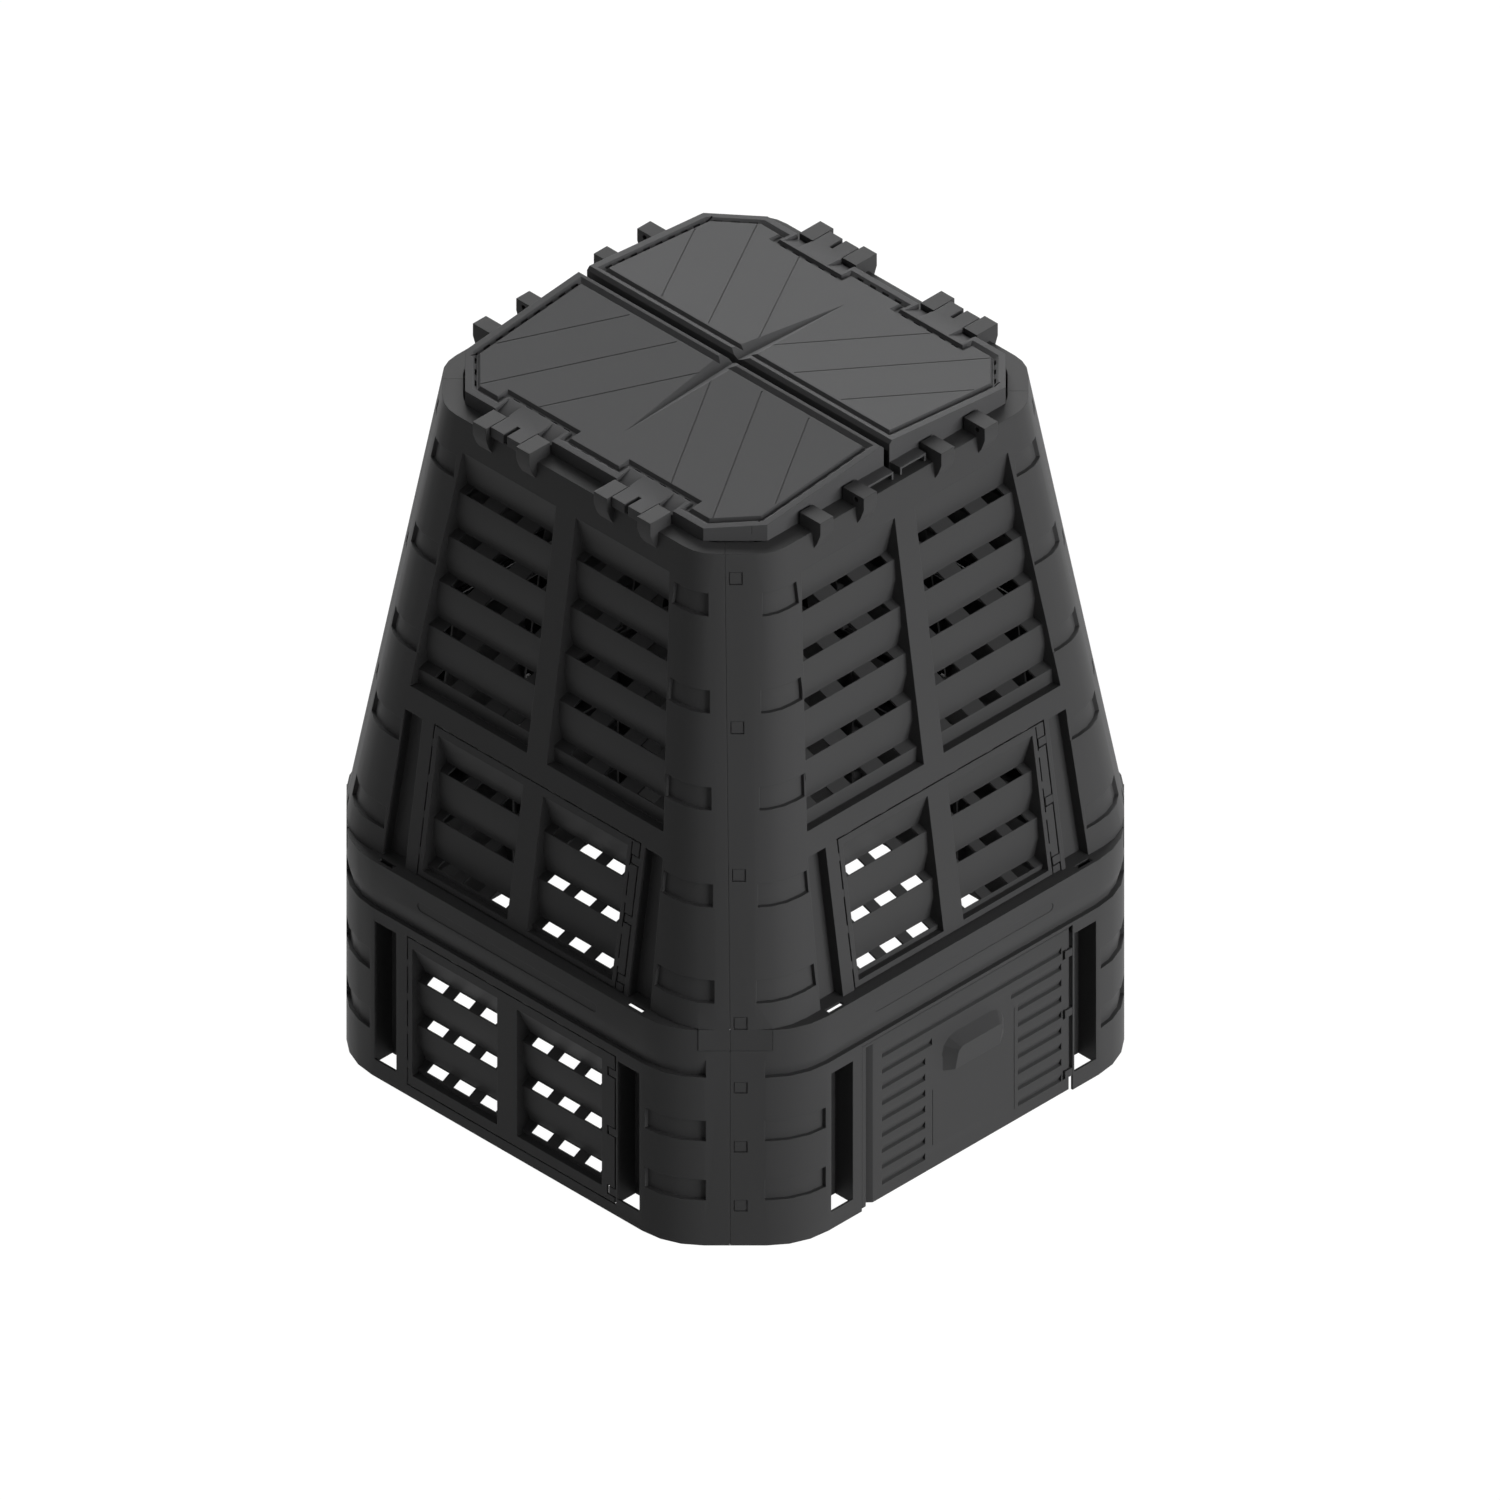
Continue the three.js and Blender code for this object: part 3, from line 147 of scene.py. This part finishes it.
# Studio light: a wide soft lamp low in front, one high behind on the right, and three fills. Each lamp is
# given by the direction that it shines from and its strength, and all are as soft as a large cloth screen.
lamp_softness = math.radians(40)
lamps = {
    "front lamp": ((0.22, -1.0, 0.15), 2.55),
    "high back lamp": ((1.0, 1.0, 1.0), 1.6),
    "left back fill": ((-1.0, 1.0, 1.0), 0.08),
    "right fill": ((1.0, -1.0, 0.35), 0.16),
    "low back fill": ((0.6, 1.0, 0.1), 1.2),
}
for name, (lamp_side, strength) in lamps.items():
    light = bpy.data.lights.new(name, "SUN")
    light.energy = strength
    light.angle = lamp_softness
    lamp = bpy.data.objects.new(name, light)
    lamp.rotation_mode = "QUATERNION"
    lamp.rotation_quaternion = Vector(lamp_side).to_track_quat("Z", "Y")
    scene.collection.objects.link(lamp)


# Camera: the photograph is a parallel view along the diagonal of the bin, from above the front left corner.
# The point that it looks at lies in the middle of the frame.
frame_width = 1.8585
frame_middle = Vector((0.1499, 0.1242, 0.2741))
stand_off = 6
view_line = Vector((1, 1, -1)).normalized()

camera_lens = bpy.data.cameras.new("camera")
camera_lens.type = "ORTHO"
camera_lens.ortho_scale = frame_width
camera_lens.clip_end = 200
camera = bpy.data.objects.new("camera", camera_lens)
camera.location = frame_middle - view_line * stand_off
camera.rotation_euler = view_line.to_track_quat("-Z", "Y").to_euler()
scene.collection.objects.link(camera)
scene.camera = camera
scene.view_settings.view_transform = "Standard"


# Base ring: four quarters of black polypropylene that meet near the corners, injection-moulded in steel
# moulds that are spark-eroded to a fine grain. The mould sinks a strip with rounded ends into each band.

tint_drift = 180  # mm over which the black drifts a little
edge_round = 0.0012  # m, the radius that the steel leaves on every edge
pit_strength = 0.35
dullest, glossiest = 0.07, -0.05  # how far the roughness strays from its middle value


def satin_plastic(name, blacks, grain, depth, roughness):
    """Moulded polypropylene: a waxy black with a low, broken sheen. Grain and depth are in millimetres."""
    material = bpy.data.materials.new(name)
    material.use_nodes = True
    tree = material.node_tree
    tree.nodes.clear()
    place = node(tree, "ShaderNodeTexCoord")
    millimetres = node(
        tree,
        "ShaderNodeVectorMath",
        {0: place.outputs["Object"], "Scale": 1000.0},
        operation="SCALE",
    ).outputs["Vector"]
    cloud = node(
        tree,
        "ShaderNodeTexNoise",
        {"Vector": millimetres, "Scale": 1 / tint_drift, "Detail": 3.0, "Roughness": 0.5},
    )
    tint = node(
        tree,
        "ShaderNodeMix",
        {"Factor": cloud.outputs["Fac"], "A": linear(blacks[0]), "B": linear(blacks[1])},
        data_type="RGBA",
    )
    pits = node(
        tree,
        "ShaderNodeTexNoise",
        {"Vector": millimetres, "Scale": 1 / grain, "Detail": 2.0, "Roughness": 0.6},
    )
    fillet = node(tree, "ShaderNodeBevel", {"Radius": edge_round}, samples=6)
    relief = node(
        tree,
        "ShaderNodeBump",
        {
            "Height": pits.outputs["Fac"],
            "Strength": pit_strength,
            "Distance": depth / 1000,
            "Normal": fillet.outputs["Normal"],
        },
    )
    sheen = node(
        tree,
        "ShaderNodeMapRange",
        {"Value": pits.outputs["Fac"], "To Min": roughness + glossiest, "To Max": roughness + dullest},
    )
    skin = node(
        tree,
        "ShaderNodeBsdfPrincipled",
        {
            "Base Color": tint.outputs["Result"],
            "Roughness": sheen.outputs["Result"],
            "IOR": 1.49,
            "Specular IOR Level": 0.13,
            "Normal": relief.outputs["Normal"],
        },
    )
    node(tree, "ShaderNodeOutputMaterial", {"Surface": skin.outputs[0]})
    return material


# The walls' grain is 0.5 mm in the real piece, and is drawn at 1.2 mm to show.
wall_plastic = satin_plastic("satin black moulded polypropylene", ("#494949", "#4d4d4e"), 1.2, 0.12, 0.55)

weld_gap = 1e-6  # m, for corners that are one point in the moulding and arrive as several


def give_skin(name, plastic):
    """Gives a moulding its plastic, joins its loose faces and returns it."""
    piece = frame["nodes"][name]
    piece.data.materials.clear()
    piece.data.materials.append(plastic)
    piece.modifiers.new("one skin", "WELD").merge_threshold = weld_gap
    return piece


def closed(name, solids):
    """One object of closed prisms, in millimetres. Each solid lists its lower outline, then its upper one."""
    points = []
    faces = []
    for solid in solids:
        start = len(points)
        n = len(solid) // 2
        points += [Vector(p) / 1000 for p in solid]
        faces.append([start + i for i in reversed(range(n))])
        faces.append([start + n + i for i in range(n)])
        for i in range(n):
            j = (i + 1) % n
            faces.append([start + i, start + j, start + n + j, start + n + i])
    mesh = bpy.data.meshes.new(name)
    mesh.from_pydata(points, [], faces)
    made = bpy.data.objects.new(name, mesh)
    scene.collection.objects.link(made)
    return made


def carve(piece, name, solids):
    """Takes solids out of a moulding with a hidden cutter, which moves with the body that it cuts."""
    cutter = closed(name, solids)
    cutter.hide_render = True
    cutter.hide_set(True)
    cutter.parent = piece.parent
    cutter.matrix_parent_inverse = Matrix.Identity(4)
    cut = piece.modifiers.new(name, "BOOLEAN")
    cut.operation = "DIFFERENCE"
    cut.solver = "EXACT"
    cut.object = cutter


def turned(solids, quarter):
    """The solids of the front side, turned to another side of the bin."""
    turn = Matrix.Rotation(math.radians(90 * quarter), 3, "Z")
    return [[turn @ Vector(p) for p in solid] for solid in solids]


sides = {"front": 0, "right": 1, "back": 2, "left": 3}
strip_half, strip_low, strip_high = 157, 290, 303
strip_floor, strip_outside = -399.2, -404.0  # the strip is 0.8 mm deep
strip_radius = (strip_high - strip_low) / 2
strip_middle = (strip_low + strip_high) / 2
end_points, end_step = 9, 22.5
strip_outline = []
for end in (1, -1):
    for i in range(end_points):
        angle = math.radians(-90 * end + i * end_step)
        x = end * (strip_half - strip_radius) + strip_radius * math.cos(angle)
        strip_outline.append((x, strip_middle + strip_radius * math.sin(angle)))
strip = [(x, strip_floor, z) for x, z in strip_outline] + [(x, strip_outside, z) for x, z in strip_outline]

for side, quarter in sides.items():
    base_wall = give_skin(f"base_wall_{side}", wall_plastic)
    carve(base_wall, f"strip {side}", turned([strip], quarter))


# Upper walls: four tapered sides of the same polypropylene, each moulded in one piece with its louvres and
# with the ears on its rim. They stand on the ledge of the base ring and lean inwards.
for side in sides:
    give_skin(f"upper_wall_{side}", wall_plastic)


# Upper doors: louvred panels of the same polypropylene, low in the upper walls and hung on moulded pins. The
# mould leaves a dashed score line beside the hinge rib, which lets the rib flex into its eyes.

ledge, foot, lean = 326, 384, 0.1471
up_wall = Vector((0, lean, 1)).normalized()
off_wall = Vector((0, -1, lean)).normalized()


def on_wall(x, z, out=0.0):
    """A point on the outer face of the upper front wall, or out from it."""
    return Vector((x, -(foot - lean * (z - ledge)), z)) + off_wall * out


def beam(middle, along, across, deep):
    """The corners of a block in millimetres, from its middle and its three edges."""
    middle, along, across, deep = (Vector(v) for v in (middle, along, across, deep))
    flip = 1 if along.cross(across).dot(deep) > 0 else -1
    deep = deep * flip
    return [
        middle + (along * i + across * j + deep * k) / 2
        for k in (-1, 1)
        for i, j in ((-1, -1), (1, -1), (1, 1), (-1, 1))
    ]


score_x, score_length, score_width, score_block = 173.0, 34, 1.8, 5
score_middles = (343, 388, 432, 476, 519)
scores = [
    beam(on_wall(score_x, z), up_wall * score_length, (score_width, 0, 0), off_wall * score_block)
    for z in score_middles
]
for side, quarter in sides.items():
    upper_door = give_skin(f"upper_door_{side}", wall_plastic)
    carve(upper_door, f"score line upper {side}", turned(scores, quarter))


# Front hatch: a closed panel of the same polypropylene with blind louvres and a hood to pull it by, hung at
# its right edge. The mould leaves a fine line at each side of the smooth field under the hood.
field_lines = ((-52.6, 79, 84), (90.3, 97, 154))  # where each stands, its middle height and its length
field_line_width, field_line_block, hatch_face = 1.2, 1.1, -398
panel_edges = [
    beam((x, hatch_face, z), (field_line_width, 0, 0), (0, field_line_block, 0), (0, 0, length))
    for x, z, length in field_lines
]
carve(give_skin("front_hatch", wall_plastic), "panel edges front_hatch", panel_edges)


# Base doors: louvred panels of the same polypropylene in the other three sides of the base ring, moulded
# like the upper doors and hung on pins at their right edge.
base_door_sides = ("right", "back", "left")
for side in base_door_sides:
    give_skin(f"base_door_{side}", wall_plastic)


# Lid: two leaves that meet at a seam, of polypropylene with a coarser grain that makes them look a little
# lighter. The mould scores shallow plank lines from the seam outwards, and pins through it leave the drain
# slots in the groove around the field, 22 mm apart.
lid_plastic = satin_plastic("grained black moulded polypropylene", ("#565657", "#5a5a5b"), 1.6, 0.2, 0.6)

ridge_top, ridge_half, lid_fall = 1009, 9.5, 0.0978
lid_half, lid_corner = 265, 335  # from the middle to the edge, and to the cut corner
bay_middle, bay_half, bay_deep = 106, 54, 27  # the field steps back in a bay at each hinge
field_half, field_half_at_bay, field_corner, bay_margin = 244, 226, 448, 8
line_starts = (-9, 70, 152)
line_origin, line_first, line_step = 20, 28.0, 2
line_slope, line_width = 0.6, 1.7
line_block, line_raise = 3.8, 1.2  # a block of this height, raised so that it cuts 0.7 mm deep
slot_pitch, slot_length, slot_width, slot_inset = 22, 11, 2.4, 13.2
slot_block, slot_drop = 14, 4
end_slots, end_slot_first = 10, 30
bay_slot_shift = 9
diagonal = 1 / math.sqrt(2)


def lid_top(x):
    """The height of the lid at a distance from the seam."""
    return ridge_top - (abs(x) - ridge_half) * lid_fall


def line_y(start, x):
    """How far along the seam a plank line has come at a distance from it."""
    return start + (x - line_origin) * line_slope


def on_field(x, y):
    """Whether a point of one quarter of the lid lies on its field."""
    at_bay = abs(y - bay_middle) < bay_half + bay_margin
    edge = field_half_at_bay if at_bay else field_half
    return x <= edge and y <= field_half and x + y <= field_corner


def line_reach(start):
    """How far from the seam a plank line runs before it leaves the field."""
    reach = line_first
    while on_field(reach, line_y(start, reach)):
        reach += line_step
    return reach


def drain_slot(x, y, along, across):
    """A block through the lid at one place, with the directions of the slot's length and width."""
    middle = (x, y, lid_top(x) - slot_drop)
    length = Vector((*along, 0)) * slot_length
    width = Vector((*across, 0)) * slot_width
    return beam(middle, length, width, (0, 0, slot_block))


for name, sign in (("lid_leaf_left", -1), ("lid_leaf_right", 1)):
    lines = []
    slots = []
    for half in (-1, 1):
        for start in line_starts:
            reach = line_reach(start)
            a = Vector((sign * line_first, half * line_y(start, line_first), lid_top(line_first)))
            b = Vector((sign * reach, half * line_y(start, reach), lid_top(reach)))
            along = b - a
            across = Vector((-along.y, along.x, 0)).normalized() * line_width
            middle = (a + b) / 2 + Vector((0, 0, line_raise))
            lines.append(beam(middle, along, across, (0, 0, line_block)))
        for i in range(end_slots):
            x = end_slot_first + i * slot_pitch
            slots.append(drain_slot(sign * x, half * (lid_half - slot_inset), (1, 0), (0, 1)))
        corner = (lid_corner - slot_inset) * diagonal
        for i in (-1, 0, 1):
            step = i * slot_pitch * diagonal
            along = (sign * diagonal, -half * diagonal)
            across = (sign * diagonal, half * diagonal)
            slots.append(drain_slot(sign * (corner + step), half * (corner - step), along, across))
        for i in (-2, -1, 0, 1, 2):
            x = lid_half - bay_deep - slot_inset + bay_slot_shift
            slots.append(drain_slot(sign * x, half * (bay_middle + i * slot_pitch), (0, 1), (1, 0)))
    for i in (-1.5, -0.5, 0.5, 1.5):
        slots.append(drain_slot(sign * (lid_half - slot_inset), i * slot_pitch, (0, 1), (1, 0)))
    leaf = give_skin(name, lid_plastic)
    carve(leaf, f"plank lines {name}", lines)
    carve(leaf, f"drain slots {name}", slots)


# Rounded forms: the real mouldings have no facets. Every piece is shaded smooth where its faces meet at a
# small angle. This comes after all the cuts, whose edges stay crisp.
crisp_angle = math.radians(28)

smooth = bpy.data.node_groups.new("round the moulded corners", "GeometryNodeTree")
smooth.interface.new_socket("Geometry", in_out="INPUT", socket_type="NodeSocketGeometry")
smooth.interface.new_socket("Geometry", in_out="OUTPUT", socket_type="NodeSocketGeometry")
whole = node(smooth, "NodeGroupInput")
welded = node(smooth, "GeometryNodeMergeByDistance", {"Geometry": whole.outputs[0], "Distance": weld_gap})
edge_angle = node(smooth, "GeometryNodeInputMeshEdgeAngle")
crisp = node(
    smooth,
    "FunctionNodeCompare",
    {"A": edge_angle.outputs["Unsigned Angle"], "B": crisp_angle},
    operation="GREATER_THAN",
)
soft_faces = node(smooth, "GeometryNodeSetShadeSmooth", {"Geometry": welded.outputs[0], "Shade Smooth": True})
crisp_edges = node(
    smooth,
    "GeometryNodeSetShadeSmooth",
    {"Geometry": soft_faces.outputs[0], "Selection": crisp.outputs[0], "Shade Smooth": False},
    domain="EDGE",
)
node(smooth, "NodeGroupOutput", {0: crisp_edges.outputs[0]})

for piece in frame["nodes"].values():
    piece.modifiers.new("round the moulded corners", "NODES").node_group = smooth


# Bridges: short tabs of the same polypropylene that hold each louvred door in its wall until it is broken
# out. They are moulded with the wall, 11 mm long and 1.5 mm thick, and stop just short of the door.

bridge_length, bridge_width, bridge_thick = 11, 2.3, 1.5
bridge_sunk = -0.85  # its middle lies behind the face of the wall
top_bridge_x = (-154, -92.3, -30.8, 30.8, 92.3, 154)
side_bridge_x = -174.35
upper_top_z, upper_side_z = 540.35, (361, 412, 463, 514)
base_top_z, base_side_z = 242.25, (48, 99, 150, 201)
base_bridge_y = -399.2


def bridges(name, solids):
    """One object for the bridges of a door. They stay with the wall when the door swings."""
    made = closed(name, solids)
    made.data.materials.append(wall_plastic)
    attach(made, "bin")


for side, quarter in sides.items():
    tabs = []
    for x in top_bridge_x:
        middle = on_wall(x, upper_top_z, bridge_sunk)
        tabs.append(beam(middle, (bridge_length, 0, 0), up_wall * bridge_width, off_wall * bridge_thick))
    for z in upper_side_z:
        middle = on_wall(side_bridge_x, z, bridge_sunk)
        tabs.append(beam(middle, (bridge_width, 0, 0), up_wall * bridge_length, off_wall * bridge_thick))
    bridges(f"upper_bridges_{side}", turned(tabs, quarter))
    if side in base_door_sides:
        tabs = []
        for x in top_bridge_x:
            middle = (x, base_bridge_y, base_top_z)
            tabs.append(beam(middle, (bridge_length, 0, 0), (0, bridge_thick, 0), (0, 0, bridge_width)))
        for z in base_side_z:
            middle = (side_bridge_x, base_bridge_y, z)
            tabs.append(beam(middle, (bridge_width, 0, 0), (0, bridge_thick, 0), (0, 0, bridge_length)))
        bridges(f"base_bridges_{side}", turned(tabs, quarter))
